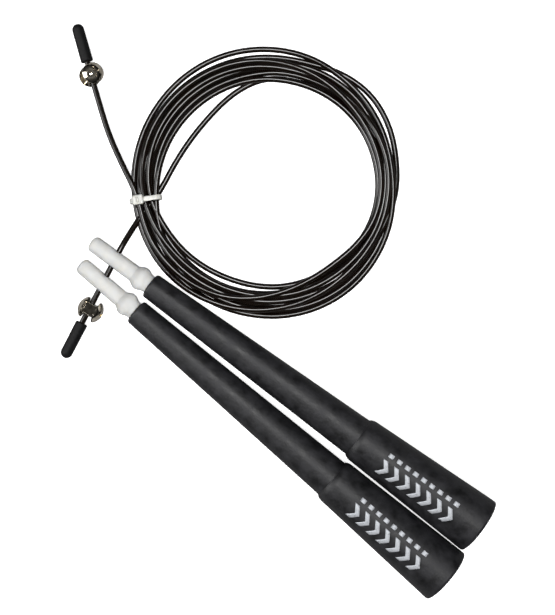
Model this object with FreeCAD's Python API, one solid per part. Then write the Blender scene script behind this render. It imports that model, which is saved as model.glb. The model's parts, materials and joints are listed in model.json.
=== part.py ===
import FreeCAD, Part
import math
import os
from FreeCAD import Placement, Rotation, Vector

# Speed jump rope, put away: a thin jacketed steel cable wound into a coil and tied, with both
# swivel handles threaded on one end of it. Millimetres, +Z up, floor at z = 0. The origin is the
# middle of the two handles' box, on the floor, and +X runs from the swivel pins to the butts.

# Cable, and the heights at which it is held.
CABLE_R = 1.25
CABLE_HOLE_R = 1.33
THREAD_Z = 4.82
FREE_END_Z = 4.95

# Layout of the handles. The left handle lies at +Y and the right one at -Y.
EYELET_LEFT = Vector(-90.27, 5.55, THREAD_Z)
EYELET_GAP = 11.30
THREAD_DIR = Vector(0.1863, -0.9825, 0).normalize()
HANDLE_YAW = 2.10
HANDLE_RISE = 2.29
EYELET_TO_FRONT = 18.30

# Handle, measured back from its front rim.
FRONT_R = 5.60
TUBE_TAPER = 0.0279
SLEEVE_START = 108.40
SLEEVE_R = 9.85
SLEEVE_SHOULDER = 2.80
HANDLE_LENGTH = 171.00
BUTT_R = 12.30
FRONT_ROUND = 1.20
BUTT_ROUND = 0.90
LIP_LENGTH = 1.00
LIP_BORE_R = 3.95
BUSH_R = 4.60
BUSH_END = 13.00
BUSH_STOP = 1.50
SPIGOT_R = 7.90
SPIGOT_END = 135.00
SPIGOT_WALL = 1.80
LEAD_STEP = 0.95
LEAD_BULGE = (0.80, 0.45)
BORE_STEP = (0.30, 3.00)
PLUG_SEAT = 2.20
PLUG_LEDGE = 0.90
PLUG_R = 10.80
PLUG_PROUD = 0.40
PLUG_ROUND = 0.35
PLUG_SPIGOT = 6.00
PLUG_SPIGOT_INNER_R = 8.00
PLUG_SPIGOT_TIP_R = 9.30
PLUG_SPIGOT_R = 9.75
FIT_GAP = 0.03
RUNNING_GAP = 0.05

# Swivel pin: rod, collar and neck in front of the handle, and its journal inside.
PIN_TIP = -30.70
PIN_R = 3.55
PIN_REAR_R = 3.65
PIN_TIP_ROUND = 2.00
COLLAR_X = -4.60
COLLAR_R = 5.15
COLLAR_SIDE_X = 1.50
COLLAR_SIDE_R = 4.80
COLLAR_FOOT_X = 3.40
NECK_X = -2.00
NECK_R = 4.25
NECK_REAR_R = 3.85
NECK_IN_LIP = 0.80
JOURNAL_R = 2.50
JOURNAL_PROUD = 0.20
TAPPING_R = 1.00
TAPPING_DEPTH = 8.00
EYE_MOUTH_R = 1.80
EYE_MOUTH_REACH = 0.40

# Washer and screw that keep the pin in the bush.
WASHER_R = 4.00
WASHER_T = 0.80
WASHER_CLEARANCE = 0.10
PAN_R = 2.10
PAN_SIDE = 1.00
PAN_CROWN = (1.45, 1.85)
PAN_TOP = (1.60, 1.20)
PAN_SHANK = 8.40
PAN_POINT = 0.50
PAN_RECESS = (0.90, 0.50, 2.20)

# Cable clamp: domed nut with a square shank, and a domed screw. The cable crosses at its origin.
DOME_R = 4.55
DOME_H = 2.80
DOME_RIM = 0.50
SHANK_W = 5.30
SHANK_CORNER = 0.50
SHANK_LOW = -2.00
SHANK_HIGH = 3.00
CROSS_HOLE_GAP = 0.10
SCREW_SEAT = 3.30
SCREW_R = 1.50
SCREW_TIP = 1.35
SCREW_RECESS = (1.50, 1.00, 4.60)

# End caps.
CAP_LENGTH = 16.40
CAP_MOUTH_R = 2.60
CAP_MOUTH_CHAMFER = 0.25
CAP_TIP_R = 2.52
CAP_BORE = 10.50

# Coil: the ring that the wound turns fill.
COIL_CENTRE = Vector(-60.8, 71.4, 0)
COIL_INNER_R = 42.0
COIL_OUTER_R = 58.0
COIL_HEIGHT = 7.40
COIL_ROUND = 2.20

# Tie round the turns.
TIE_ANGLE = 227.25
TIE_INNER_R = 45.7
TIE_OUTER_R = 57.1
TIE_BASE = 1.05
TIE_W = 2.10
TIE_T = 0.90
TIE_GAP = 0.25
TIE_PLAY = 0.04
TIE_HEAD = (4.70, 4.00, 2.90)
TIE_HEAD_R = 54.6
BEYOND = 1.0

# Where the clamps and caps sit, as distances along the cable.
RIGHT_CLAMP = 12.30
RIGHT_CAP = 19.00
FREE_CAP = 5.90
FREE_CLAMP = Vector(-146.43, 60.48, FREE_END_Z)
FREE_DIR = Vector(-0.812, 0.584, 0).normalize()
CABLE_IN_CAP = 10.0
BEND_SHARE = 0.45
THREAD_ROLL = 5.0
FREE_ROLL = 68.0

EYELET_RIGHT = EYELET_LEFT + THREAD_DIR * EYELET_GAP

# The cable's routes where it isn't coiled. Each first point lies inside the coil.
THREADED_TAIL = [
    Vector(-93.4, 26.6, 1.60),
    Vector(-92.6, 19.5, 2.90),
    EYELET_LEFT - THREAD_DIR * 7.0,
    EYELET_RIGHT + THREAD_DIR * (RIGHT_CAP + CABLE_IN_CAP),
]
FREE_TAIL = [
    Vector(-100.3, 33.2, 5.80),
    Vector(-112.3, 38.7, 5.40),
    Vector(-125.3, 45.5, 5.00),
    FREE_CLAMP - FREE_DIR * 12.0,
    FREE_CLAMP + FREE_DIR * (FREE_CAP + CABLE_IN_CAP),
]
CHORD = [
    Vector(-88.2, 106.2, 1.50),
    Vector(-95.3, 92.0, 1.40),
    Vector(-97.3, 72.5, 1.35),
    Vector(-96.4, 55.2, 1.35),
    Vector(-93.3, 39.2, 1.60),
]


def turned(start, *steps):
    """Solid turned about X. A step is an end point (x, r), or a pair: a point on an arc and its end."""
    edges = []
    here = Vector(start[0], start[1], 0)
    for step in steps:
        if isinstance(step[0], tuple):
            middle = Vector(step[0][0], step[0][1], 0)
            end = Vector(step[1][0], step[1][1], 0)
            edges.append(Part.Arc(here, middle, end).toShape())
        else:
            end = Vector(step[0], step[1], 0)
            edges.append(Part.LineSegment(here, end).toShape())
        here = end
    edges.append(Part.LineSegment(here, Vector(start[0], start[1], 0)).toShape())
    return Part.Face(Part.Wire(edges)).revolve(Vector(), Vector(1, 0, 0), 360)


def round_corner(x, r, radius, along, across):
    """Quarter round at the corner (x, r): its start, middle and end, for a profile.

    along and across are +1 or -1, the directions in x and in r from the corner into the solid.
    """
    centre_x = x + along * radius
    centre_r = r + across * radius
    middle = radius * math.sqrt(0.5)
    return (x, centre_r), (centre_x - along * middle, centre_r - across * middle), (centre_x, r)


def box(low, high):
    """Box between two corners."""
    return Part.makeBox(high[0] - low[0], high[1] - low[1], high[2] - low[2], Vector(*low))


def cross_recess(depth, width, length):
    """Cross-shaped driver recess, cut down from the XY plane."""
    blade = box((-length / 2, -width / 2, -depth), (length / 2, width / 2, 1))
    point = Part.makeCone(width * 0.3, width * 1.1, depth + 1, Vector(0, 0, -depth))
    return blade.fuse(blade.rotated(Vector(), Vector(0, 0, 1), 90)).fuse(point)


def handle_tube():
    """Front part of the handle: a tapered tube with a lip in front and a spigot behind."""
    rear_r = FRONT_R + TUBE_TAPER * SLEEVE_START
    face, crown, side = round_corner(0, FRONT_R, FRONT_ROUND, 1, -1)
    return turned(
        (0, LIP_BORE_R), face, (crown, side),
        (SLEEVE_START, rear_r), (SLEEVE_START, SPIGOT_R), (SPIGOT_END, SPIGOT_R),
        (SPIGOT_END, SPIGOT_R - SPIGOT_WALL), (BUSH_END + BUSH_STOP, BUSH_R), (LIP_LENGTH, BUSH_R),
        (LIP_LENGTH, LIP_BORE_R),
    )


def grip_sleeve():
    """Rear part of the handle: a flared sleeve pushed over the tube's spigot."""
    lead_r = SLEEVE_R - LEAD_STEP
    shoulder = SLEEVE_START + SLEEVE_SHOULDER
    bore_r = SPIGOT_R + FIT_GAP
    face, crown, side = round_corner(HANDLE_LENGTH, BUTT_R, BUTT_ROUND, -1, -1)
    return turned(
        (SLEEVE_START + FIT_GAP, bore_r), (SLEEVE_START + FIT_GAP, lead_r),
        ((SLEEVE_START + LEAD_BULGE[0], lead_r + LEAD_BULGE[1]), (shoulder, SLEEVE_R)),
        side, (crown, face), (HANDLE_LENGTH, PLUG_R + FIT_GAP),
        (HANDLE_LENGTH - PLUG_SEAT, PLUG_R + FIT_GAP), (HANDLE_LENGTH - PLUG_SEAT, PLUG_R - PLUG_LEDGE),
        (SPIGOT_END + BORE_STEP[1], bore_r), (SPIGOT_END + BORE_STEP[0], bore_r),
    )


def end_plug():
    """Plug that closes the sleeve's end: a disc with a rounded edge and a hollow spigot."""
    seat = HANDLE_LENGTH - PLUG_SEAT + FIT_GAP
    end = HANDLE_LENGTH + PLUG_PROUD
    face, crown, side = round_corner(end, PLUG_R, PLUG_ROUND, -1, -1)
    return turned(
        (seat - PLUG_SPIGOT, PLUG_SPIGOT_INNER_R), (seat - PLUG_SPIGOT, PLUG_SPIGOT_TIP_R),
        (seat, PLUG_SPIGOT_R), (seat, PLUG_R), side, (crown, face), (end, 0), (seat, 0),
        (seat, PLUG_SPIGOT_INNER_R),
    )


def swivel_bush():
    """Plain bush held in the front of the tube, in which the pin turns."""
    outer = BUSH_R - FIT_GAP
    inner = JOURNAL_R + RUNNING_GAP
    start = LIP_LENGTH + FIT_GAP
    return turned((start, inner), (start, outer), (BUSH_END, outer), (BUSH_END, inner))


def swivel_pin():
    """Moulded pin: a rod with an eyelet for the cable, a round collar, a neck and a journal.

    The eyelet follows the cable, which crosses the rod a little off square, and flares both ways.
    """
    face, crown, side = round_corner(PIN_TIP, PIN_R, PIN_TIP_ROUND, 1, -1)
    journal_end = BUSH_END + JOURNAL_PROUD
    pin = turned(
        (PIN_TIP, 0), face, (crown, side), (COLLAR_X - COLLAR_FOOT_X, PIN_REAR_R),
        (COLLAR_X - COLLAR_SIDE_X, COLLAR_SIDE_R),
        ((COLLAR_X, COLLAR_R), (COLLAR_X + COLLAR_SIDE_X, COLLAR_SIDE_R)),
        (NECK_X, NECK_R), (0, NECK_REAR_R), (NECK_IN_LIP, NECK_REAR_R), (NECK_IN_LIP, JOURNAL_R),
        (journal_end, JOURNAL_R), (journal_end, TAPPING_R),
        (journal_end - TAPPING_DEPTH, TAPPING_R), (journal_end - TAPPING_DEPTH, 0),
    )
    reach = PIN_REAR_R + EYE_MOUTH_REACH
    for direction in (1, -1):
        mouth = Part.makeCone(CABLE_HOLE_R, EYE_MOUTH_R, reach, Vector(-EYELET_TO_FRONT, 0, 0),
                              THREAD_DIR * direction)
        pin = pin.cut(mouth)
    return pin


def thrust_washer():
    """Washer that the retaining screw holds against the journal's end."""
    start = BUSH_END + JOURNAL_PROUD + FIT_GAP
    end = start + WASHER_T
    hole_r = TAPPING_R + WASHER_CLEARANCE
    return turned((start, hole_r), (start, WASHER_R), (end, WASHER_R), (end, hole_r))


def retaining_screw():
    """Pan-head screw in the journal's end, with a cross recess."""
    seat = BUSH_END + JOURNAL_PROUD + 2 * FIT_GAP + WASHER_T
    top = seat + PAN_TOP[0]
    shank = TAPPING_R - FIT_GAP
    screw = turned((seat - PAN_SHANK, 0), (seat - PAN_SHANK + PAN_POINT, shank), (seat, shank),
                   (seat, PAN_R), (seat + PAN_SIDE, PAN_R),
                   ((seat + PAN_CROWN[0], PAN_CROWN[1]), (top, PAN_TOP[1])), (top, 0))
    recess = cross_recess(*PAN_RECESS)
    recess.Placement = Placement(Vector(top, 0, 0), Rotation(Vector(0, 1, 0), 90))
    return screw.cut(recess)


def dome(base_z, height, direction):
    """Domed head: a flat disc with a short rim, crowned by a spherical cap. direction is +1 or -1."""
    rim = DOME_RIM
    cap = height - rim
    sphere_r = (DOME_R ** 2 + cap ** 2) / (2 * cap)
    slope = math.asin(DOME_R / sphere_r) / 2
    middle = (rim + cap - sphere_r * (1 - math.cos(slope)), sphere_r * math.sin(slope))
    solid = turned((0, 0), (0, DOME_R), (rim, DOME_R), (middle, (height, 0)))
    turn = Rotation(Vector(1, 0, 0), Vector(0, 0, direction))
    return solid.transformGeometry(Placement(Vector(0, 0, base_z), turn).toMatrix())


def clamp_nut():
    """Clamp nut: a dome, a square shank with the cable's cross hole, and a bore for the screw."""
    half = SHANK_W / 2
    shank = box((-half, -half, SHANK_LOW), (half, half, SHANK_HIGH))
    uprights = [edge for edge in shank.Edges if abs(edge.tangentAt(edge.FirstParameter).z) > 0.9]
    nut = shank.makeFillet(SHANK_CORNER, uprights).fuse(dome(SHANK_LOW, DOME_H, -1)).removeSplitter()
    bore = Part.makeCylinder(SCREW_R + RUNNING_GAP, SHANK_HIGH + BEYOND)
    cross = Part.makeCylinder(CABLE_R + CROSS_HOLE_GAP, SHANK_W + 2 * BEYOND,
                              Vector(-half - BEYOND, 0, 0), Vector(1, 0, 0))
    return nut.cut(bore).cut(cross)


def clamp_screw():
    """Clamp screw: a dome with a cross recess, and a shank that presses on the cable."""
    shank = Part.makeCylinder(SCREW_R, SCREW_SEAT - SCREW_TIP + DOME_RIM, Vector(0, 0, SCREW_TIP))
    screw = shank.fuse(dome(SCREW_SEAT, DOME_H, 1)).removeSplitter()
    recess = cross_recess(*SCREW_RECESS)
    recess.translate(Vector(0, 0, SCREW_SEAT + DOME_H))
    return screw.cut(recess)


def end_cap():
    """Soft cap over the cable's end: a slim cone with a round tip and a blind bore from its mouth."""
    crown = CAP_LENGTH - CAP_TIP_R
    slant = CAP_TIP_R * math.sqrt(0.5)
    bore_r = CABLE_R + RUNNING_GAP
    return turned((0, bore_r), (0, CAP_MOUTH_R - CAP_MOUTH_CHAMFER),
                  (CAP_MOUTH_CHAMFER, CAP_MOUTH_R), (crown, CAP_TIP_R),
                  ((crown + slant, slant), (CAP_LENGTH, 0)), (CAP_BORE, 0), (CAP_BORE, bore_r))


def across_coil(low, high):
    """Box laid across the coil at the tie: x is the distance from the coil's axis."""
    solid = box(low, high)
    solid.rotate(Vector(), Vector(0, 0, 1), TIE_ANGLE)
    solid.translate(COIL_CENTRE)
    return solid


def coil_ring():
    """The wound turns as one ring, waisted where the tie passes round them."""
    ring = Part.makeCylinder(COIL_OUTER_R, COIL_HEIGHT).cut(Part.makeCylinder(COIL_INNER_R, COIL_HEIGHT))
    ring = ring.makeFillet(COIL_ROUND, [edge for edge in ring.Edges if len(edge.Vertexes) == 1])
    ring.translate(COIL_CENTRE)
    half = TIE_W / 2 + TIE_GAP
    slab = across_coil((COIL_INNER_R - BEYOND, -half, -BEYOND),
                       (COIL_OUTER_R + BEYOND, half, COIL_HEIGHT + BEYOND))
    waist = across_coil((TIE_INNER_R, -half, TIE_BASE), (TIE_OUTER_R, half, COIL_HEIGHT))
    return ring.cut(slab).fuse(waist).removeSplitter()


def cable_tie():
    """Tie: a flat band round the turns, and its locking head on top of the outermost ones."""
    half = TIE_W / 2
    inner = TIE_INNER_R - TIE_PLAY
    outer = TIE_OUTER_R + TIE_PLAY
    bottom = TIE_BASE - TIE_PLAY
    base = COIL_HEIGHT + TIE_PLAY
    inside = across_coil((inner, -half - BEYOND, bottom), (outer, half + BEYOND, base))
    band = across_coil((inner - TIE_T, -half, bottom - TIE_T), (outer + TIE_T, half, base + TIE_T))
    length, width, height = TIE_HEAD
    head = across_coil((TIE_HEAD_R - length / 2, -width / 2, base),
                       (TIE_HEAD_R + length / 2, width / 2, base + height))
    return band.cut(inside).fuse(head).removeSplitter()


def cord(name, points):
    """Round cable along a route: straight runs joined by the largest tangent arcs they allow."""
    runs = [points[i + 1] - points[i] for i in range(len(points) - 1)]
    solids = []
    radii = []
    length = 0
    start = points[0]
    for i in range(1, len(points) - 1):
        before = Vector(runs[i - 1]).normalize()
        after = Vector(runs[i]).normalize()
        half_turn = before.getAngle(after) / 2
        setback = BEND_SHARE * min(runs[i - 1].Length, runs[i].Length)
        radius = setback / math.tan(half_turn)
        radii.append(radius)
        arc_start = points[i] - before * setback
        axis = before.cross(after).normalize()
        centre = arc_start + axis.cross(before) * radius
        run_length = (arc_start - start).Length
        solids.append(Part.makeCylinder(CABLE_R, run_length, start, before))
        section = Part.Face(Part.Wire(Part.makeCircle(CABLE_R, arc_start, before)))
        solids.append(section.revolve(centre, axis, math.degrees(2 * half_turn)))
        length += run_length + 2 * half_turn * radius
        start = points[i] + after * setback
    last = points[-1] - start
    solids.append(Part.makeCylinder(CABLE_R, last.Length, start, last))
    length += last.Length
    tube = solids[0].multiFuse(solids[1:]).removeSplitter()
    ratio = tube.Volume / (math.pi * CABLE_R ** 2 * length)
    print(name, "length %.1f" % length, "volume ratio %.4f" % ratio,
          "radii", " ".join("%.0f" % radius for radius in radii))
    return tube


def placed(shape, origin, x_dir, z_dir):
    """Copy of a shape put at origin, with its X and Z axes along the given directions."""
    x_axis = Vector(x_dir).normalize()
    z_axis = Vector(z_dir).normalize()
    copy = shape.copy()
    copy.Placement = Placement(origin, Rotation(x_axis, z_axis.cross(x_axis), z_axis, "XYZ"))
    return copy


def handle_places():
    """For each side: its front rim's centre, its axis and its upward direction."""
    places = {}
    for side, eyelet, yaw in (("left", EYELET_LEFT, HANDLE_YAW), ("right", EYELET_RIGHT, -HANDLE_YAW)):
        turn = Rotation(yaw, -HANDLE_RISE, 0)
        axis = turn.multVec(Vector(1, 0, 0))
        places[side] = (eyelet + axis * EYELET_TO_FRONT, axis, turn.multVec(Vector(0, 0, 1)))
    return places


def rolled(cable_dir, degrees):
    """Upward direction of a clamp that is rolled about the cable, 90 degrees being upright."""
    level = Vector(0, 0, 1).cross(cable_dir) if cable_dir.y < 0 else cable_dir.cross(Vector(0, 0, 1))
    angle = math.radians(degrees)
    return level * math.cos(angle) + Vector(0, 0, 1) * math.sin(angle)


def all_parts():
    """Every node's name and solid."""
    parts = {}
    handle_pieces = {
        "handle_tube": handle_tube(), "grip_sleeve": grip_sleeve(), "end_plug": end_plug(),
        "swivel_bush": swivel_bush(), "swivel_pin": swivel_pin(), "thrust_washer": thrust_washer(),
        "retaining_screw": retaining_screw(),
    }
    for side, (front, axis, up) in handle_places().items():
        for piece, shape in handle_pieces.items():
            parts[side + "_" + piece] = placed(shape, front, axis, up)

    thread_clamp = EYELET_RIGHT + THREAD_DIR * RIGHT_CLAMP
    clamps = {
        "threaded_end": (thread_clamp, THREAD_DIR, THREAD_ROLL, EYELET_RIGHT + THREAD_DIR * RIGHT_CAP),
        "free_end": (FREE_CLAMP, FREE_DIR, FREE_ROLL, FREE_CLAMP + FREE_DIR * FREE_CAP),
    }
    for end, (place, cable_dir, roll, mouth) in clamps.items():
        up = rolled(cable_dir, roll)
        parts[end + "_clamp_nut"] = placed(clamp_nut(), place, cable_dir, up)
        parts[end + "_clamp_screw"] = placed(clamp_screw(), place, cable_dir, up)
        parts[end + "_cap"] = placed(end_cap(), mouth, cable_dir, Vector(0, 0, 1))

    ring = coil_ring()
    parts["cable_coil"] = ring
    parts["cable_tie"] = cable_tie()
    for name, route in (("cable_threaded_tail", THREADED_TAIL), ("cable_free_tail", FREE_TAIL),
                        ("cable_chord", CHORD)):
        pieces = cord(name, route).cut(ring).Solids
        parts[name] = max(pieces, key=lambda solid: solid.Volume)
    return parts


def main():
    """Write one STEP file for each node."""
    os.makedirs("parts", exist_ok=True)
    for name, shape in all_parts().items():
        solid = shape if shape.ShapeType == "Solid" else shape.Solids[0]
        if len(shape.Solids) != 1 or not solid.isValid() or solid.Volume <= 0:
            raise ValueError("%s has %d solids or isn't valid" % (name, len(shape.Solids)))
        solid.exportStep("parts/%s.step" % name)


main()
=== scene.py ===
import json
import logging
import math
from dataclasses import dataclass, field
from enum import Enum

import bmesh
import bpy
import numpy as np
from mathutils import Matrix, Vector


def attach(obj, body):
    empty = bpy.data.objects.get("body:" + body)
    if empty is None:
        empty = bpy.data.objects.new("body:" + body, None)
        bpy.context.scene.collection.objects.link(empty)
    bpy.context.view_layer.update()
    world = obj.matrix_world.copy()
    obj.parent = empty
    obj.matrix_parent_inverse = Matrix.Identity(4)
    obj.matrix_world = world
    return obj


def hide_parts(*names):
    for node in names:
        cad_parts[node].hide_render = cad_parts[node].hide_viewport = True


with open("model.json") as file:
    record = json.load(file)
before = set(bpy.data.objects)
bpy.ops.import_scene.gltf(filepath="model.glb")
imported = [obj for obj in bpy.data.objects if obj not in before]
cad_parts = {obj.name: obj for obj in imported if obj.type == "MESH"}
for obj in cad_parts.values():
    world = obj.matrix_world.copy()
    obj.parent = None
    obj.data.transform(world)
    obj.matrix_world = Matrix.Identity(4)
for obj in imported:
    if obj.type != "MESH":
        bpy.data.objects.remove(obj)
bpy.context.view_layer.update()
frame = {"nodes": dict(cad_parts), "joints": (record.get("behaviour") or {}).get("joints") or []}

# Speed jump rope, put away: a jacketed steel cable in a tied coil, two swivel handles threaded
# on one end of it, and a screw clamp and a cap at each end. Metres, in the frame of the model.

MM = 0.001
LOG = logging.getLogger("jump_rope")


class Slot(Enum):
    """The record's material slots."""

    HANDLE = "handle_plastic"
    NYLON = "white_nylon"
    ACETAL = "bush_acetal"
    ZINC = "zinc_steel"
    NICKEL = "bright_nickel"
    VINYL = "cap_vinyl"
    JACKET = "cable_jacket"
    TIE = "tie_nylon"


class Side(Enum):
    """The two handles: left lies at +Y."""

    LEFT = "left"
    RIGHT = "right"


class End(Enum):
    """The cable's two ends."""

    THREADED = "threaded_end"
    FREE = "free_end"


# ---------------------------------------------------------------- colour and nodes


def linear(hex_colour: str) -> tuple[float, float, float, float]:
    """Turn an sRGB hex colour into linear RGBA.

    Args:
        hex_colour: six hex digits after a hash.

    Returns:
        The linear colour with alpha 1.
    """
    values = [int(hex_colour[i:i + 2], 16) / 255 for i in (1, 3, 5)]
    red, green, blue = (v / 12.92 if v <= 0.04045 else ((v + 0.055) / 1.055) ** 2.4 for v in values)
    return red, green, blue, 1.0


def add_node(tree: bpy.types.NodeTree, kind: str, links: dict | None = None,
             **settings: object) -> bpy.types.Node:
    """Add a node with its settings and links.

    Args:
        tree: the node tree it goes in.
        kind: the node's type name, without the prefix ShaderNode.
        links: for each input name or index, the output socket that feeds it, or a constant.
        settings: properties of the node itself.

    Returns:
        The new node.
    """
    node = tree.nodes.new("ShaderNode" + kind)
    for name, value in settings.items():
        setattr(node, name, value)
    for name, value in (links or {}).items():
        if isinstance(value, bpy.types.NodeSocket):
            tree.links.new(value, node.inputs[name])
        else:
            node.inputs[name].default_value = value
    return node


def ramp(tree: bpy.types.NodeTree, factor: bpy.types.NodeSocket,
         *stops: tuple[float, str]) -> bpy.types.NodeSocket:
    """Colour ramp from hex colours.

    Args:
        tree: the node tree it goes in.
        factor: what drives the ramp.
        stops: pairs of position and hex colour, in order.

    Returns:
        The ramp's colour socket.
    """
    node = add_node(tree, "ValToRGB", {"Fac": factor})
    elements = node.color_ramp.elements
    for index, (position, colour) in enumerate(stops):
        element = elements[index] if index < 2 else elements.new(position)
        element.position = position
        element.color = linear(colour)
    return node.outputs["Color"]


# ---------------------------------------------------------------- finishes


@dataclass(frozen=True)
class Finish:
    """What every finish has: its slot, and constants set on the shader's own sockets."""

    name: str
    slot: Slot
    roughness: float
    ior: float = 1.5
    specular: float = 0.5

    def build(self) -> bpy.types.Material:
        """Make the material.

        Returns:
            The finished material, whose pattern comes from the subclass's pattern method.
        """
        material = bpy.data.materials.new(self.name)
        material.use_nodes = True
        tree = material.node_tree
        shader = tree.nodes["Principled BSDF"]
        shader.inputs["Roughness"].default_value = self.roughness
        shader.inputs["IOR"].default_value = self.ior
        shader.inputs["Specular IOR Level"].default_value = self.specular
        self.pattern(tree, shader)
        return material

    def pattern(self, tree: bpy.types.NodeTree, shader: bpy.types.Node) -> None:
        """Add the finish's own nodes; each finish has its own.

        Args:
            tree: the material's node tree.
            shader: its Principled shader.
        """
        raise NotImplementedError


@dataclass(frozen=True)
class MouldedBlack(Finish):
    """Injection-moulded black ABS with a fine spark-eroded texture.

    It gives a soft, wide highlight that breaks up slightly, with faint cloudy patches from handling.
    """

    dark: str = "#070708"
    pale: str = "#262629"
    # The real texture is about 0.1 mm, too fine to show, so it is drawn this coarse.
    grain: float = 1.1 * MM
    grain_height: float = 0.15 * MM
    cloud: float = 5.0 * MM
    smoother: float = 0.08
    rougher: float = 0.12

    def pattern(self, tree: bpy.types.NodeTree, shader: bpy.types.Node) -> None:
        """Cloudy colour and roughness, and a fine grain bump.

        Args:
            tree: the material's node tree.
            shader: its Principled shader.
        """
        place = add_node(tree, "TexCoord").outputs["Object"]
        cloud = add_node(tree, "TexNoise", {"Vector": place, "Scale": 1 / self.cloud, "Detail": 5.0,
                                            "Roughness": 0.62})
        fine = add_node(tree, "TexNoise", {"Vector": place, "Scale": 1 / self.grain, "Detail": 2.0})
        colour = ramp(tree, cloud.outputs["Fac"], (0.30, self.dark), (0.72, self.pale))
        tree.links.new(colour, shader.inputs["Base Color"])
        rough = add_node(tree, "MapRange", {"Value": cloud.outputs["Fac"], "From Min": 0.3, "From Max": 0.7,
                                            "To Min": self.roughness - self.smoother,
                                            "To Max": self.roughness + self.rougher})
        tree.links.new(rough.outputs["Result"], shader.inputs["Roughness"])
        bump = add_node(tree, "Bump", {"Height": fine.outputs["Fac"], "Strength": 0.6,
                                       "Distance": self.grain_height})
        tree.links.new(bump.outputs["Normal"], shader.inputs["Normal"])


@dataclass(frozen=True)
class MilkyNylon(Finish):
    """Natural moulded nylon: white, slightly see-through at thin edges, satin."""

    shade: str = "#cbcbc9"
    light: str = "#d6d6d4"
    flow: float = 5.0 * MM
    ripple: float = 0.2 * MM
    scatter: float = 0.35
    depth: float = 1.2 * MM

    def pattern(self, tree: bpy.types.NodeTree, shader: bpy.types.Node) -> None:
        """Faint flow marks in the colour and a shallow ripple, over scattered light.

        Args:
            tree: the material's node tree.
            shader: its Principled shader.
        """
        place = add_node(tree, "TexCoord").outputs["Object"]
        flow = add_node(tree, "TexNoise", {"Vector": place, "Scale": 1 / self.flow, "Detail": 3.0,
                                           "Distortion": 0.8})
        tree.links.new(ramp(tree, flow.outputs["Fac"], (0.25, self.shade), (0.75, self.light)),
                       shader.inputs["Base Color"])
        shader.inputs["Subsurface Weight"].default_value = self.scatter
        shader.inputs["Subsurface Radius"].default_value = (1.0, 0.95, 0.85)
        shader.inputs["Subsurface Scale"].default_value = self.depth
        bump = add_node(tree, "Bump", {"Height": flow.outputs["Fac"], "Strength": 0.15,
                                       "Distance": self.ripple})
        tree.links.new(bump.outputs["Normal"], shader.inputs["Normal"])


@dataclass(frozen=True)
class PlatedMetal(Finish):
    """Plated steel: bright nickel or zinc, with fine handling scratches and a warm or cool tone."""

    tone: str = "#cfc7b8"
    dull: str = "#9c9486"
    patch: float = 1.6 * MM
    # Real handling scratches are finer than 0.05 mm, so they are drawn this coarse.
    scratch: float = 0.25 * MM
    scratch_depth: float = 0.02 * MM
    scratch_stretch: float = 0.12
    polished: float = 0.6
    rubbed: float = 1.5

    def pattern(self, tree: bpy.types.NodeTree, shader: bpy.types.Node) -> None:
        """Patchy tone, and scratches as noise stretched along one direction.

        Args:
            tree: the material's node tree.
            shader: its Principled shader.
        """
        place = add_node(tree, "TexCoord").outputs["Object"]
        stretch = add_node(tree, "Mapping", {"Vector": place, "Scale": (1.0, self.scratch_stretch, 1.0)})
        marks = add_node(tree, "TexNoise", {"Vector": stretch.outputs["Vector"], "Scale": 1 / self.scratch,
                                            "Detail": 3.0})
        patch = add_node(tree, "TexNoise", {"Vector": place, "Scale": 1 / self.patch, "Detail": 2.0})
        tree.links.new(ramp(tree, patch.outputs["Fac"], (0.3, self.dull), (0.6, self.tone)),
                       shader.inputs["Base Color"])
        shader.inputs["Metallic"].default_value = 1.0
        rough = add_node(tree, "MapRange", {"Value": marks.outputs["Fac"],
                                            "To Min": self.roughness * self.polished,
                                            "To Max": self.roughness * self.rubbed})
        tree.links.new(rough.outputs["Result"], shader.inputs["Roughness"])
        bump = add_node(tree, "Bump", {"Height": marks.outputs["Fac"], "Strength": 0.06,
                                       "Distance": self.scratch_depth})
        tree.links.new(bump.outputs["Normal"], shader.inputs["Normal"])


@dataclass(frozen=True)
class DippedVinyl(Finish):
    """Soft dipped PVC: black, dull, with a slightly orange-peel skin."""

    dark: str = "#070708"
    pale: str = "#111112"
    peel: float = 0.9 * MM
    peel_height: float = 0.12 * MM

    def pattern(self, tree: bpy.types.NodeTree, shader: bpy.types.Node) -> None:
        """Orange-peel bump and faint dusty patches.

        Args:
            tree: the material's node tree.
            shader: its Principled shader.
        """
        place = add_node(tree, "TexCoord").outputs["Object"]
        peel = add_node(tree, "TexNoise", {"Vector": place, "Scale": 1 / self.peel, "Detail": 3.0})
        tree.links.new(ramp(tree, peel.outputs["Fac"], (0.35, self.dark), (0.7, self.pale)),
                       shader.inputs["Base Color"])
        bump = add_node(tree, "Bump", {"Height": peel.outputs["Fac"], "Strength": 0.3,
                                       "Distance": self.peel_height})
        tree.links.new(bump.outputs["Normal"], shader.inputs["Normal"])


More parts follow.
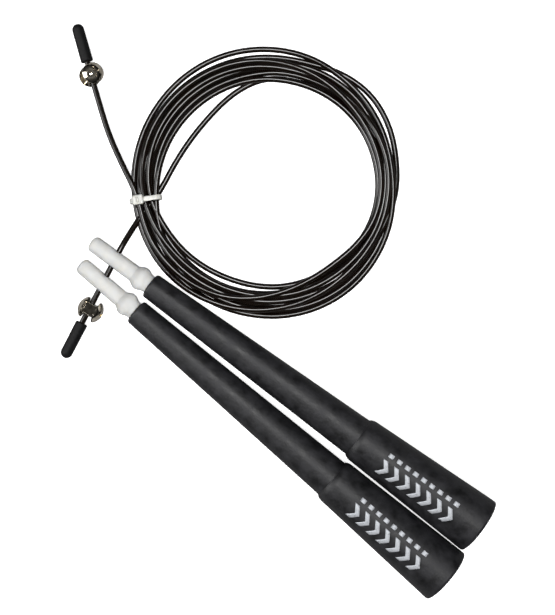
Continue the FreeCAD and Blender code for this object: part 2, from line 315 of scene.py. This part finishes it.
@dataclass(frozen=True)
class SmokyJacket(Finish):
    """Smoky clear PVC over twisted steel: nearly black, with brown-grey strands showing through.

    The strands lie at a slant under a smooth skin, so the colour and a soft bump follow the twist
    and the coat above them stays smooth and keeps one thin highlight.
    """

    gap: str = "#030201"
    strand: str = "#1a110a"
    lay: float = 5.2 * MM
    strands: int = 6
    smoke: float = 7.0 * MM
    strand_height: float = 0.12 * MM
    coat: float = 0.75
    coat_roughness: float = 0.10

    def pattern(self, tree: bpy.types.NodeTree, shader: bpy.types.Node) -> None:
        """Sine bands of distance along the cable plus turns round it, under a smooth coat.

        Args:
            tree: the material's node tree.
            shader: its Principled shader.
        """
        run = add_node(tree, "UVMap", uv_map="run").outputs["UV"]
        parts = add_node(tree, "SeparateXYZ", {"Vector": run})
        twist = add_node(tree, "Math", {0: parts.outputs["X"], 1: self.strands / self.lay},
                         operation="MULTIPLY")
        phase = add_node(tree, "Math", {0: parts.outputs["Y"], 1: float(self.strands), 2: twist.outputs[0]},
                         operation="MULTIPLY_ADD")
        turn = add_node(tree, "Math", {0: phase.outputs[0], 1: math.tau}, operation="MULTIPLY")
        wave = add_node(tree, "Math", {0: turn.outputs[0]}, operation="SINE")
        band = add_node(tree, "MapRange", {"Value": wave.outputs[0], "From Min": -1.0, "From Max": 1.0})
        place = add_node(tree, "TexCoord").outputs["Object"]
        smoke = add_node(tree, "TexNoise", {"Vector": place, "Scale": 1 / self.smoke, "Detail": 4.0})
        mixed = add_node(tree, "Math", {0: band.outputs["Result"], 1: smoke.outputs["Fac"]},
                         operation="MULTIPLY")
        tree.links.new(ramp(tree, mixed.outputs[0], (0.08, self.gap), (0.55, self.strand)),
                       shader.inputs["Base Color"])
        bump = add_node(tree, "Bump", {"Height": band.outputs["Result"], "Strength": 0.5,
                                       "Distance": self.strand_height})
        tree.links.new(bump.outputs["Normal"], shader.inputs["Normal"])
        shader.inputs["Coat Weight"].default_value = self.coat
        shader.inputs["Coat Roughness"].default_value = self.coat_roughness


@dataclass(frozen=True)
class SilverInk(Finish):
    """Pad-printed silver-white ink: dull, with pinholes where it missed the texture."""

    ink: str = "#b2b5ba"
    worn: str = "#83868b"
    pinhole: float = 0.7 * MM
    sparkle: float = 0.25

    def pattern(self, tree: bpy.types.NodeTree, shader: bpy.types.Node) -> None:
        """Slightly uneven ink.

        Args:
            tree: the material's node tree.
            shader: its Principled shader.
        """
        place = add_node(tree, "TexCoord").outputs["Object"]
        wear = add_node(tree, "TexNoise", {"Vector": place, "Scale": 1 / self.pinhole, "Detail": 4.0})
        tree.links.new(ramp(tree, wear.outputs["Fac"], (0.28, self.worn), (0.45, self.ink)),
                       shader.inputs["Base Color"])
        shader.inputs["Metallic"].default_value = self.sparkle


HANDLE_BLACK = MouldedBlack("moulded_black_abs", Slot.HANDLE, roughness=0.5, specular=0.42)
PIN_NYLON = MilkyNylon("milky_nylon", Slot.NYLON, roughness=0.5, specular=0.25, scatter=0.9, depth=3.0 * MM)
TIE_NYLON = MilkyNylon("natural_tie_nylon", Slot.TIE, roughness=0.38, ior=1.53,
                       shade="#b9b9b3", light="#d8d8d2")
BUSH_ACETAL = MilkyNylon("natural_acetal", Slot.ACETAL, roughness=0.35, ior=1.48,
                         shade="#cfcdc4", light="#dedcd4", scatter=0.1)
NICKEL = PlatedMetal("bright_nickel_plate", Slot.NICKEL, roughness=0.09, tone="#e9e1d2", dull="#aea493")
ZINC = PlatedMetal("zinc_plate", Slot.ZINC, roughness=0.32, tone="#b9bcc0", dull="#94979b")
CAP_VINYL = DippedVinyl("dipped_black_vinyl", Slot.VINYL, roughness=0.6, specular=0.2)
CABLE_JACKET = SmokyJacket("smoky_cable_jacket", Slot.JACKET, roughness=0.4, specular=0.05)
PRINT_INK = SilverInk("silver_print", Slot.HANDLE, roughness=0.5)


# ---------------------------------------------------------------- surfaces


def skin(name: str, rings: np.ndarray, along: np.ndarray | None = None,
         loop: bool = False) -> bpy.types.Object:
    """Surface through rings of points: ring i is joined to ring i + 1 by quads.

    Args:
        name: the piece's name.
        rings: points, as rings by points of a ring by 3, in metres.
        along: distance of each ring along the piece, for the map "run"; the ring's number if None.
        loop: True if the last ring joins the first one, as in a closed band; otherwise each end is
            closed by triangles about the middle of its ring.

    Returns:
        The object, smooth shaded, with its faces pointing outwards.
    """
    count, sides, _ = rings.shape
    ids = np.arange(count * sides).reshape(count, sides)
    first = ids if loop else ids[:-1]
    second = np.roll(ids, -1, 0) if loop else ids[1:]
    quads = np.stack([first, np.roll(first, -1, 1), np.roll(second, -1, 1), second], -1).reshape(-1, 4)
    points = rings.reshape(-1, 3)
    u = np.arange(count, dtype=float) if along is None else along
    u = np.append(u, u[-1] + (u[-1] - u[-2]))
    v = np.arange(sides + 1) / sides
    rows = len(first)
    u_of, v_of = np.meshgrid(np.arange(rows), np.arange(sides), indexing="ij")
    corners = [(u[u_of], v[v_of]), (u[u_of], v[v_of + 1]), (u[u_of + 1], v[v_of + 1]), (u[u_of + 1], v[v_of])]
    uv = np.stack([np.stack(c, -1) for c in corners], 2).reshape(-1, 2)
    faces = quads.tolist()
    if not loop:
        points = np.vstack([points, rings[0].mean(0), rings[-1].mean(0)])
        ends = ((ids[0], count * sides, u[0]), (ids[-1], count * sides + 1, u[count - 1]))
        for ring, centre, place in ends:
            fan = np.stack([ring, np.roll(ring, -1), np.full(sides, centre)], -1)
            faces += fan.tolist()
            fan_uv = np.stack([np.full((sides, 3), place), np.stack([v[:-1], v[1:], v[:-1]], -1)], -1)
            uv = np.vstack([uv, fan_uv.reshape(-1, 2)])
    mesh = bpy.data.meshes.new(name)
    mesh.from_pydata(points.tolist(), [], faces)
    mesh.uv_layers.new(name="run").data.foreach_set("uv", uv.astype(np.float32).ravel())
    body = bmesh.new()
    body.from_mesh(mesh)
    bmesh.ops.recalc_face_normals(body, faces=body.faces)
    body.to_mesh(mesh)
    body.free()
    mesh.polygons.foreach_set("use_smooth", [True] * len(mesh.polygons))
    piece = bpy.data.objects.new(name, mesh)
    bpy.context.scene.collection.objects.link(piece)
    return piece


def joined(name: str, pieces: list[bpy.types.Object]) -> bpy.types.Object:
    """Join pieces into one object.

    Args:
        name: the name of the result.
        pieces: the objects, which are used up.

    Returns:
        The one object.
    """
    whole = bmesh.new()
    for piece in pieces:
        whole.from_mesh(piece.data)
        bpy.data.objects.remove(piece)
    mesh = bpy.data.meshes.new(name)
    whole.to_mesh(mesh)
    whole.free()
    result = bpy.data.objects.new(name, mesh)
    bpy.context.scene.collection.objects.link(result)
    return result


def tube_rings(path: np.ndarray, radius: float, sides: int) -> np.ndarray:
    """Rings of a round tube along a path that is never upright.

    Each ring is a circle square to the path: sideways is the path's direction crossed with Z, and
    upwards is square to both.

    Args:
        path: points by 3.
        radius: the tube's radius.
        sides: points in a ring.

    Returns:
        The rings, as points of the path by sides by 3.
    """
    forward = np.gradient(path, axis=0)
    forward /= np.linalg.norm(forward, axis=1, keepdims=True)
    sideways = np.cross(forward, (0.0, 0.0, 1.0))
    sideways /= np.linalg.norm(sideways, axis=1, keepdims=True)
    upward = np.cross(sideways, forward)
    angle = np.arange(sides) * math.tau / sides
    return (path[:, None] + radius * (np.cos(angle)[None, :, None] * sideways[:, None]
                                      + np.sin(angle)[None, :, None] * upward[:, None]))


def rounded_rectangle(width: float, height: float, corner: float, per_corner: int) -> np.ndarray:
    """Outline of a rectangle with quarter-circle corners, centred, going anticlockwise.

    Args:
        width: its size along the first axis.
        height: its size along the second axis.
        corner: the corners' radius.
        per_corner: points in each corner.

    Returns:
        Points by 2.
    """
    angle = (np.arange(4)[:, None] * 90 + np.linspace(0, 90, per_corner)[None, :]) * math.pi / 180
    sign_x = np.array([1, -1, -1, 1])[:, None]
    sign_y = np.array([1, 1, -1, -1])[:, None]
    x = sign_x * (width / 2 - corner) + corner * np.cos(angle)
    y = sign_y * (height / 2 - corner) + corner * np.sin(angle)
    return np.stack([x.ravel(), y.ravel()], -1)


def dress(piece: bpy.types.Object, finish: Finish, body: str, *nodes: str) -> None:
    """Give a new piece its material, and put it on its body.

    Args:
        piece: the new piece.
        finish: what it is dressed in.
        body: the body that it moves with.
        nodes: the model's nodes that it stands for, if any.
    """
    piece.data.materials.clear()
    piece.data.materials.append(material_of(finish))
    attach(piece, body)
    if nodes:
        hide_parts(*nodes)
    LOG.info("%s on %s, %d faces", piece.name, body, len(piece.data.polygons))


MATERIALS: dict[str, bpy.types.Material] = {}


def material_of(finish: Finish) -> bpy.types.Material:
    """Find or make a finish's material.

    Args:
        finish: the finish, which is built once however many pieces wear it.

    Returns:
        Its material.
    """
    if finish.name not in MATERIALS:
        MATERIALS[finish.name] = finish.build()
    return MATERIALS[finish.name]


def coat_node(node: str, finish: Finish) -> None:
    """Give a node of the model its finish.

    Args:
        node: the node's name.
        finish: what it is dressed in.
    """
    piece = frame["nodes"][node]
    piece.data.materials.clear()
    piece.data.materials.append(material_of(finish))
    LOG.info("%s in %s", node, finish.name)


# ---------------------------------------------------------------- the cable


@dataclass
class Cable:
    """The cable: one smooth line from the free end, round nine turns, to the threaded end.

    The turns come from a lay chart: for each turn, the radius in millimetres at twelve directions
    round the coil, starting at the tie, and the layer it lies in there, 0 on the floor.
    """

    radius: float = 1.25 * MM
    length: float = 3.0
    coil_centre: tuple[float, float] = (-60.8, 71.4)
    tie_angle: float = 227.25
    stations: int = 12
    floor_z: float = 1.27
    layer_z: float = 2.2
    tie_top: float = 6.2
    chart: tuple[tuple[tuple[float, ...], str], ...] = (
        ((54.9, 54.9, 52.6, 47.3, 44.4, 49.0, 48.2, 47.3, 48.7, 51.0, 52.2, 53.4), "222222221111"),
        ((52.3, 49.3, 48.7, 49.5, 49.3, 50.4, 50.4, 51.4, 50.8, 49.9, 50.6, 51.4), "211111110000"),
        ((51.3, 51.4, 51.0, 50.9, 52.7, 52.6, 55.3, 58.4, 52.3, 52.3, 53.2, 53.8), "111111000000"),
        ((53.8, 54.6, 56.5, 57.6, 57.6, 55.3, 52.7, 53.4, 55.2, 56.2, 56.3, 55.8), "100001100000"),
        ((56.0, 57.4, 56.1, 54.0, 51.7, 51.9, 51.7, 49.5, 47.6, 48.8, 49.6, 50.6), "101112211111"),
        ((49.9, 46.2, 43.9, 45.5, 46.0, 48.7, 47.2, 45.3, 43.2, 42.7, 43.0, 44.6), "210001111110"),
        ((47.2, 50.8, 51.0, 53.2, 53.6, 52.0, 50.9, 48.6, 46.4, 45.1, 45.6, 46.9), "200000000000"),
        ((48.7, 53.2, 53.6, 55.6, 55.9, 53.9, 53.0, 50.8, 48.9, 47.5, 48.1, 49.1), "100000000000"),
        ((49.9, 48.3, 48.3, 47.9, 48.6, 49.8, 48.4, 46.4, 44.4), "000000000"),
    )
    # The loose stretches, as in the model, in millimetres. The free tail starts inside the coil.
    free_tail: tuple[tuple[float, float, float], ...] = (
        (-100.3, 33.2, 5.80), (-112.3, 38.7, 5.40), (-125.3, 45.5, 5.00),
        (-136.688, 53.473, 4.95), (-147.242, 61.064, 4.95), (-159.339, 69.764, 4.95),
    )
    chord: tuple[tuple[float, float, float], ...] = (
        (-88.2, 106.2, 1.50), (-95.3, 92.0, 1.40), (-97.3, 72.5, 1.35), (-96.4, 55.2, 1.35),
        (-93.3, 39.2, 1.60),
    )
    threaded_tail: tuple[tuple[float, float, float], ...] = (
        (-93.4, 26.6, 1.60), (-92.6, 19.5, 2.90), (-91.574, 12.428, 4.82), (-90.27, 5.55, 4.82),
        (-82.762, -34.044, 4.82),
    )
    exit_mm: tuple[float, float, float] = (-87.23, -10.46, 4.82)
    sides: int = 14
    per_point: int = 6
    shortest_step: float = 1e-6
    # How the turns settle: rounds, and the share of each move that is made in a round.
    settling_rounds: int = 400
    push_share: float = 0.8
    smooth_share: float = 0.10
    pull_share: float = 0.12
    sink: float = 0.02
    piece: bpy.types.Object = field(init=False, default=None)

    def turns(self) -> np.ndarray:
        """Lay the turns and let them settle on each other.

        The chart is filled in half-way between its directions by a cubic through four neighbours.
        Then strands that overlap at a direction push apart, each is drawn back to its charted
        radius, smoothed along its length and let down towards the floor, many times over.

        Returns:
            The control points of the turns, by 3, in millimetres.
        """
        lane = np.concatenate([np.array(radii) for radii, _ in self.chart])
        layer = np.concatenate([np.array([float(c) for c in layers]) for _, layers in self.chart])
        flat = np.stack([lane, self.floor_z + self.layer_z * layer], -1)
        padded = np.vstack([flat[:1], flat, flat[-1:]])
        middle = (9 * (padded[1:-2] + padded[2:-1]) - padded[:-3] - padded[3:]) / 16
        line = np.empty((2 * len(flat) - 1, 2))
        line[::2] = flat
        line[1::2] = middle
        per_turn = 2 * self.stations
        step = 360 / per_turn
        rows = len(self.chart) + 1
        slots = np.full((rows * per_turn, 2), np.nan)
        slots[:len(line)] = line
        under = self.chord_in_coil(self.tie_angle + step * np.arange(len(line), (rows - 1) * per_turn + 1))
        slots[len(line):(rows - 1) * per_turn + 1] = under
        target = slots.copy()
        fixed = np.ones(len(slots), bool)
        fixed[1:len(line)] = False
        there = ~np.isnan(slots[:, 0])
        at_tie = np.arange(len(slots)) % per_turn == 0
        diameter = 2 * self.radius / MM
        for _ in range(self.settling_rounds):
            grid = slots.reshape(rows, per_turn, 2)
            apart = grid[:, None] - grid[None, :]
            distance = np.sqrt((apart ** 2).sum(-1))
            distance[distance == 0] = np.nan
            push = np.clip(diameter - distance, 0, None) / 2
            pushed = np.nansum(apart / distance[..., None] * push[..., None], axis=1)
            move = self.push_share * pushed.reshape(-1, 2)
            smooth = np.zeros_like(slots)
            smooth[1:-1] = (slots[:-2] + slots[2:]) / 2 - slots[1:-1]
            smooth = np.nan_to_num(smooth)
            pull = np.stack([self.pull_share * (target[:, 0] - slots[:, 0]),
                             np.full(len(slots), -self.sink)], -1)
            change = move + self.smooth_share * smooth + np.nan_to_num(pull)
            free = there & ~fixed
            slots[free] += change[free]
            slots[:, 1] = np.where(free, np.maximum(slots[:, 1], self.floor_z), slots[:, 1])
            slots[:, 1] = np.where(free & at_tie, np.minimum(slots[:, 1], self.tie_top), slots[:, 1])
        settled = slots[1:len(line)]
        angle = np.radians(self.tie_angle + step * np.arange(1, len(line)))
        # A spline of order 3 runs inside its control points by the cosine of half a step.
        radius = settled[:, 0] / math.cos(math.radians(step / 2))
        return np.stack([self.coil_centre[0] + radius * np.cos(angle),
                         self.coil_centre[1] + radius * np.sin(angle), settled[:, 1]], -1)

    def chord_in_coil(self, angles: np.ndarray) -> np.ndarray:
        """Read where the chord runs under the turns, up to the tie.

        Args:
            angles: directions round the coil, in degrees.

        Returns:
            The chord's radius and height at each direction.
        """
        points = np.array(self.chord)
        offset = points[:, :2] - np.array(self.coil_centre)
        bearing = np.unwrap(np.arctan2(offset[:, 1], offset[:, 0])) / math.pi * 180
        wanted = bearing[0] + (angles - bearing[0] + 180) % 360 - 180
        return np.stack([np.interp(wanted, bearing, np.linalg.norm(offset, axis=1)),
                         np.interp(wanted, bearing, points[:, 2])], -1)

    def control_points(self) -> np.ndarray:
        """Every control point from the free end to the threaded end, in metres."""
        free = np.array(self.free_tail)[::-1]
        return np.vstack([free, self.turns(), np.array(self.chord), np.array(self.threaded_tail)]) * MM

    def line(self) -> np.ndarray:
        """The cable's smooth centreline, read from its NURBS spline.

        Returns:
            Points by 3, in metres.
        """
        points = self.control_points()
        curve = bpy.data.curves.new("cable_line", "CURVE")
        curve.dimensions = "3D"
        curve.resolution_u = self.per_point
        spline = curve.splines.new("NURBS")
        spline.points.add(len(points) - 1)
        spline.points.foreach_set("co", np.hstack([points, np.ones((len(points), 1))]).ravel())
        spline.order_u = 3
        spline.use_endpoint_u = True
        holder = bpy.data.objects.new("cable_line", curve)
        bpy.context.scene.collection.objects.link(holder)
        read = bpy.data.meshes.new_from_object(holder.evaluated_get(bpy.context.evaluated_depsgraph_get()))
        path = np.empty(len(read.vertices) * 3)
        read.vertices.foreach_get("co", path)
        bpy.data.objects.remove(holder)
        return path.reshape(-1, 3)

    def make(self, with_pieces: list[bpy.types.Object]) -> None:
        """Args:
            with_pieces: the clamps, caps and tie that are on it; not used.
        """
        path = self.line()
        steps = np.linalg.norm(np.diff(path, axis=0), axis=1)
        keep = np.append(True, steps > self.shortest_step)
        path = path[keep]
        along = np.append(0, np.cumsum(np.linalg.norm(np.diff(path, axis=0), axis=1)))
        LOG.info("the cable's line is %.3f m long, with %d points", along[-1], len(path))
        self.piece = skin("cable", tube_rings(path, self.radius, self.sides), along)
        dress(self.piece, CABLE_JACKET, "rope", "cable_coil", "cable_chord", "cable_threaded_tail",
              "cable_free_tail")


# ---------------------------------------------------------------- the tie


@dataclass
class CableTie:
    """Nylon tie: a toothed band round the turns and a locking head, in millimetres.

    Sizes are measured across the coil: r from its axis, t along the turns, z up.
    """

    cable: Cable
    inner_r: float = 45.66
    outer_r: float = 57.50
    bottom: float = 1.01
    top: float = 7.46
    width: float = 2.10
    thickness: float = 0.88
    corner: float = 1.9
    tooth: float = 0.75
    tooth_depth: float = 0.10
    head: tuple[float, float, float] = (4.70, 4.00, 2.80)
    head_r: float = 54.6
    slot: tuple[float, float] = (1.1, 2.3)
    # The head's levels. Foot: height, and how far the wall is drawn in. Crown: depth below the
    # top, and the same. Well: depth below the top, and how far the slot's wall stands out.
    foot: tuple[tuple[float, float], ...] = ((0.0, 0.30), (0.12, 0.10), (0.35, 0.0))
    crown: tuple[tuple[float, float], ...] = ((0.55, 0.0), (0.22, 0.10), (0.06, 0.32), (0.0, 0.6))
    well: tuple[tuple[float, float], ...] = ((0.0, 0.22), (0.1, 0.06), (0.3, 0.0), (0.45, 0.0))
    piece: bpy.types.Object = field(init=False, default=None)

    def placed(self, r: np.ndarray, t: np.ndarray, z: np.ndarray) -> np.ndarray:
        """Turn distances about the tie into points of the frame.

        Args:
            r: distance from the coil's axis.
            t: distance along the turns.
            z: height.

        Returns:
            Points by 3, in metres.
        """
        angle = math.radians(self.cable.tie_angle)
        x = self.cable.coil_centre[0] + r * math.cos(angle) - t * math.sin(angle)
        y = self.cable.coil_centre[1] + r * math.sin(angle) + t * math.cos(angle)
        return np.stack(np.broadcast_arrays(x, y, z), -1) * MM

    def band(self) -> bpy.types.Object:
        """The band: a flat, round-edged section carried along a rounded rectangle.

        The outer face is cut by a saw wave along the band for its teeth.

        Returns:
            The band.
        """
        half = self.thickness / 2
        line = rounded_rectangle(self.outer_r - self.inner_r + 2 * half, self.top - self.bottom + 2 * half,
                                 self.corner, 14)
        closed = np.vstack([line, line[:1]])
        reach = np.append(0, np.cumsum(np.linalg.norm(np.diff(closed, axis=0), axis=1)))
        even = np.arange(0, reach[-1], self.tooth / 6)
        line = np.stack([np.interp(even, reach, closed[:, 0]), np.interp(even, reach, closed[:, 1])], -1)
        forward = np.roll(line, -1, 0) - np.roll(line, 1, 0)
        forward /= np.linalg.norm(forward, axis=1, keepdims=True)
        outward = np.stack([forward[:, 1], -forward[:, 0]], -1)
        section = rounded_rectangle(self.width, self.thickness, 0.25, 4)
        saw = self.tooth_depth * ((even / self.tooth) % 1)
        cut = np.where((section[None, :, 1] > 0) & (np.abs(section[None, :, 0]) < 0.32 * self.width),
                       saw[:, None], 0)
        out = section[None, :, 1] - cut
        middle_r = (self.inner_r + self.outer_r) / 2
        middle_z = (self.bottom + self.top) / 2
        r = middle_r + line[:, 0, None] + outward[:, 0, None] * out
        z = middle_z + line[:, 1, None] + outward[:, 1, None] * out
        t = np.broadcast_to(section[None, :, 0], r.shape)
        return skin("tie_band", self.placed(r, t, z), even * MM, loop=True)

    def locking_head(self) -> bpy.types.Object:
        """The head: rounded rectangles stacked up its walls, over its top and down into its slot.

        Returns:
            The head.
        """
        length, width, height = self.head
        slot_l, slot_w = self.slot
        rings = []
        for z, inset in (*self.foot, *((height - down, inset) for down, inset in self.crown)):
            outline = rounded_rectangle(length - 2 * inset, width - 2 * inset, 0.75 - inset * 0.5, 6)
            rings.append(self.placed(self.head_r + outline[:, 0], outline[:, 1], self.top + z))
        for down, grow in self.well:
            outline = rounded_rectangle(slot_l + 2 * grow, slot_w + 2 * grow, 0.3, 6)
            rings.append(self.placed(self.head_r + outline[:, 0], outline[:, 1],
                                     self.top + (height - down)))
        return skin("tie_head", np.array(rings))

    def cut_end(self) -> bpy.types.Object:
        """The band's end, cut off just above the slot and slightly slanted.

        Returns:
            The cut end.
        """
        rings = []
        height = self.head[2]
        for z, slant in ((height - 1.6, 0.0), (height - 0.2, 0.0), (height + 0.22, 0.12)):
            outline = rounded_rectangle(self.thickness, self.width, 0.2, 4)
            rings.append(self.placed(self.head_r - 0.1 + outline[:, 0], outline[:, 1],
                                     self.top + z + slant * outline[:, 1]))
        return skin("tie_end", np.array(rings))

    def make(self) -> None:
        """Build the tie and dress it."""
        self.piece = joined("tie", [self.band(), self.locking_head(), self.cut_end()])
        dress(self.piece, TIE_NYLON, "rope", "cable_tie")


# ---------------------------------------------------------------- handles


@dataclass
class Handle:
    """One handle: black tube, sleeve and plug, its swivel pin and what holds the pin inside."""

    side: Side
    sleeve_start: float = 111.2
    sleeve_end: float = 171.0
    sleeve_start_r: float = 9.85
    sleeve_end_r: float = 12.30
    ink: float = 0.03
    first_mark: float = 121.5
    mark_height: float = 7.2
    mark_stroke: float = 2.3
    mark_point: float = 2.6
    mark_centre: float = -3.9
    mark_pitch: float = 5.4
    marks: int = 7
    first_dash: float = 122.5
    dash_stroke: float = 2.3
    dash_height: float = 1.8
    dash_centre: float = 2.3
    dash_pitch: float = 4.1
    dashes: int = 9

    def nodes(self) -> dict[str, Finish]:
        """The handle's nodes and their finishes."""
        pieces = {"handle_tube": HANDLE_BLACK, "grip_sleeve": HANDLE_BLACK, "end_plug": HANDLE_BLACK,
                  "swivel_bush": BUSH_ACETAL, "swivel_pin": PIN_NYLON, "thrust_washer": ZINC,
                  "retaining_screw": ZINC}
        return {f"{self.side.value}_{piece}": finish for piece, finish in pieces.items()}

    def on_sleeve(self, x: np.ndarray, across: np.ndarray, lift: np.ndarray) -> np.ndarray:
        """Points on the sleeve's cone.

        Args:
            x: distance back from the tube's front rim, in millimetres.
            across: distance round the sleeve from its top line, towards +Y.
            lift: height above the sleeve's surface.

        Returns:
            Points of the frame, by 3, in metres.
        """
        spin = next(j for j in frame["joints"] if j["name"] == f"{self.side.value}_spin")
        front = np.array(spin["pos_m"]) / MM
        axis = np.array(spin["axis"])
        sideways = np.cross((0.0, 0.0, 1.0), axis)
        sideways /= np.linalg.norm(sideways)
        upward = np.cross(axis, sideways)
        share = (x - self.sleeve_start) / (self.sleeve_end - self.sleeve_start)
        surface = self.sleeve_start_r + share * (self.sleeve_end_r - self.sleeve_start_r)
        turn = (across / surface)[..., None]
        radius = (surface + lift)[..., None]
        return (front + x[..., None] * axis + radius * (np.sin(turn) * sideways + np.cos(turn) * upward)) * MM

    def mark(self, start: float, stroke: float, point: float, centre: float,
             height: float) -> bpy.types.Object:
        """One printed arrowhead or dash as a thin slab on the sleeve.

        Its middle line is bent to a point by the distance from its ends, and its section is a
        flat loop: over the ink from front to back, and back just under the sleeve's surface.

        Args:
            start: the distance of its ends from the tube's front rim.
            stroke: its width along the handle.
            point: how far its middle stands behind its ends.
            centre: its middle round the sleeve.
            height: its size round the sleeve.

        Returns:
            The slab.
        """
        rise = np.linspace(-1, 1, 17)
        width = np.linspace(0, 1, 4)
        lap = np.concatenate([width, width[::-1]])
        lift = np.concatenate([np.full(4, self.ink), np.full(4, -self.ink)])
        x = start + point * (1 - np.abs(rise))[:, None] + stroke * lap[None, :]
        across = np.broadcast_to((centre + height / 2 * rise)[:, None], x.shape)
        return skin("mark", self.on_sleeve(x, across, np.broadcast_to(lift[None, :], x.shape)))

    def print_marks(self) -> None:
        """Plain printed trim: a row of arrowheads, and a row of short dashes beside it."""
        marks = [self.mark(self.first_mark + i * self.mark_pitch, self.mark_stroke, self.mark_point,
                           self.mark_centre, self.mark_height) for i in range(self.marks)]
        marks += [self.mark(self.first_dash + i * self.dash_pitch, self.dash_stroke, 0.0,
                            self.dash_centre, self.dash_height) for i in range(self.dashes)]
        piece = joined(f"{self.side.value}_grip_print", marks)
        dress(piece, PRINT_INK, f"{self.side.value}_handle")

    def make(self) -> None:
        """Dress the handle's nodes and print its trim."""
        for node, finish in self.nodes().items():
            coat_node(node, finish)
        self.print_marks()


@dataclass
class EndFittings:
    """The clamp and cap at one end of the cable."""

    end: End

    def make(self) -> list[bpy.types.Object]:
        """Dress the nodes.

        Returns:
            The nodes' objects.
        """
        pieces = {"clamp_nut": NICKEL, "clamp_screw": NICKEL, "cap": CAP_VINYL}
        for piece, finish in pieces.items():
            coat_node(f"{self.end.value}_{piece}", finish)
        return [frame["nodes"][f"{self.end.value}_{piece}"] for piece in pieces]


# ---------------------------------------------------------------- the studio


@dataclass
class Studio:
    """Camera straight above, a white floor, and soft light from above."""

    eye: tuple[float, float, float] = (-0.02382, 0.0321, 0.600)
    turn: float = 38.25
    lens: float = 82.48
    sensor: float = 36.0
    glow: float = 0.75
    room: float = 0.20
    floor_reach: float = 3.0
    aim: tuple[float, float, float] = (-0.03, 0.04, 0.0)

    def camera(self) -> None:
        """The camera looks straight down."""
        data = bpy.data.cameras.new("camera")
        data.lens = self.lens
        data.sensor_width = self.sensor
        data.clip_start = 0.01
        camera = bpy.data.objects.new("camera", data)
        camera.location = self.eye
        camera.rotation_euler = (0, 0, math.radians(self.turn))
        bpy.context.scene.collection.objects.link(camera)
        bpy.context.scene.camera = camera

    def floor(self) -> None:
        """A white floor that glows to the eye, so that shadows stay faint, and throws back little light."""
        mesh = bpy.data.meshes.new("floor")
        reach = self.floor_reach
        mesh.from_pydata([(-reach, -reach, 0), (reach, -reach, 0), (reach, reach, 0), (-reach, reach, 0)], [],
                         [(0, 1, 2, 3)])
        floor = bpy.data.objects.new("floor", mesh)
        bpy.context.scene.collection.objects.link(floor)
        material = bpy.data.materials.new("white_floor")
        material.use_nodes = True
        tree = material.node_tree
        tree.nodes.clear()
        bounced = add_node(tree, "BsdfDiffuse", {"Color": linear("#8c8c8c")})
        lit = add_node(tree, "BsdfDiffuse", {"Color": linear("#fafafa")})
        glow = add_node(tree, "Emission", {"Color": (1, 1, 1, 1), "Strength": self.glow})
        seen = add_node(tree, "AddShader", {0: lit.outputs[0], 1: glow.outputs[0]})
        rays = add_node(tree, "LightPath")
        mixed = add_node(tree, "MixShader", {"Fac": rays.outputs["Is Camera Ray"], 1: bounced.outputs[0],
                                             2: seen.outputs[0]})
        add_node(tree, "OutputMaterial", {"Surface": mixed.outputs[0]})
        mesh.materials.append(material)

    def light(self, name: str, place: tuple[float, float, float], size: float,
              watts: float) -> bpy.types.Object:
        """Hang a square soft light that faces the middle of the rope.

        Args:
            name: the light's name.
            place: its centre, in metres.
            size: its side, in metres.
            watts: its power.

        Returns:
            The light's object, on which the kinds of ray that see it can be set.
        """
        data = bpy.data.lights.new(name, "AREA")
        data.energy = watts
        data.size = size
        lamp = bpy.data.objects.new(name, data)
        lamp.location = place
        lamp.rotation_euler = (Vector(self.aim) - Vector(place)).to_track_quat("-Z", "Y").to_euler()
        bpy.context.scene.collection.objects.link(lamp)
        return lamp

    def make(self) -> None:
        """Camera, floor, lights, and surroundings that the camera sees as plain white."""
        self.camera()
        self.floor()
        # Two lights that only brighten surfaces, and two that only show in reflections.
        self.light("overhead", (-0.02, -0.12, 0.95), 0.42, 11).visible_glossy = False
        self.light("gleam", (-0.10, 0.10, 0.95), 0.26, 5.5).visible_diffuse = False
        self.light("side", (0.9, 0.5, 0.8), 0.6, 3).visible_glossy = False
        self.light("card", (-0.55, -0.40, 0.45), 0.60, 5.5).visible_diffuse = False
        world = bpy.data.worlds.new("white_room")
        world.use_nodes = True
        tree = world.node_tree
        tree.nodes.clear()
        height = add_node(tree, "SeparateXYZ", {"Vector": add_node(tree, "TexCoord").outputs["Generated"]})
        sky = ramp(tree, height.outputs["Z"], (0.10, "#101010"), (0.55, "#8a8a8a"),
                   (0.82, "#f4f4f4"), (0.97, "#3c3c3c"))
        around = add_node(tree, "Background", {"Color": sky, "Strength": self.room})
        seen = add_node(tree, "Background", {"Color": (1, 1, 1, 1)})
        rays = add_node(tree, "LightPath")
        mixed = add_node(tree, "MixShader", {"Fac": rays.outputs["Is Camera Ray"], 1: around.outputs[0],
                                             2: seen.outputs[0]})
        add_node(tree, "OutputWorld", {"Surface": mixed.outputs[0]})
        bpy.context.scene.world = world
        bpy.context.scene.view_settings.view_transform = "Standard"


def main() -> None:
    """Build the rope's sub-assemblies in order."""
    logging.basicConfig(level=logging.INFO, format="%(message)s")
    Studio().make()
    fittings = [piece for end in End for piece in EndFittings(end).make()]
    cable = Cable()
    tie = CableTie(cable)
    tie.make()
    cable.make([*fittings, tie.piece])
    for side in Side:
        Handle(side).make()


if __name__ == "__main__":
    main()
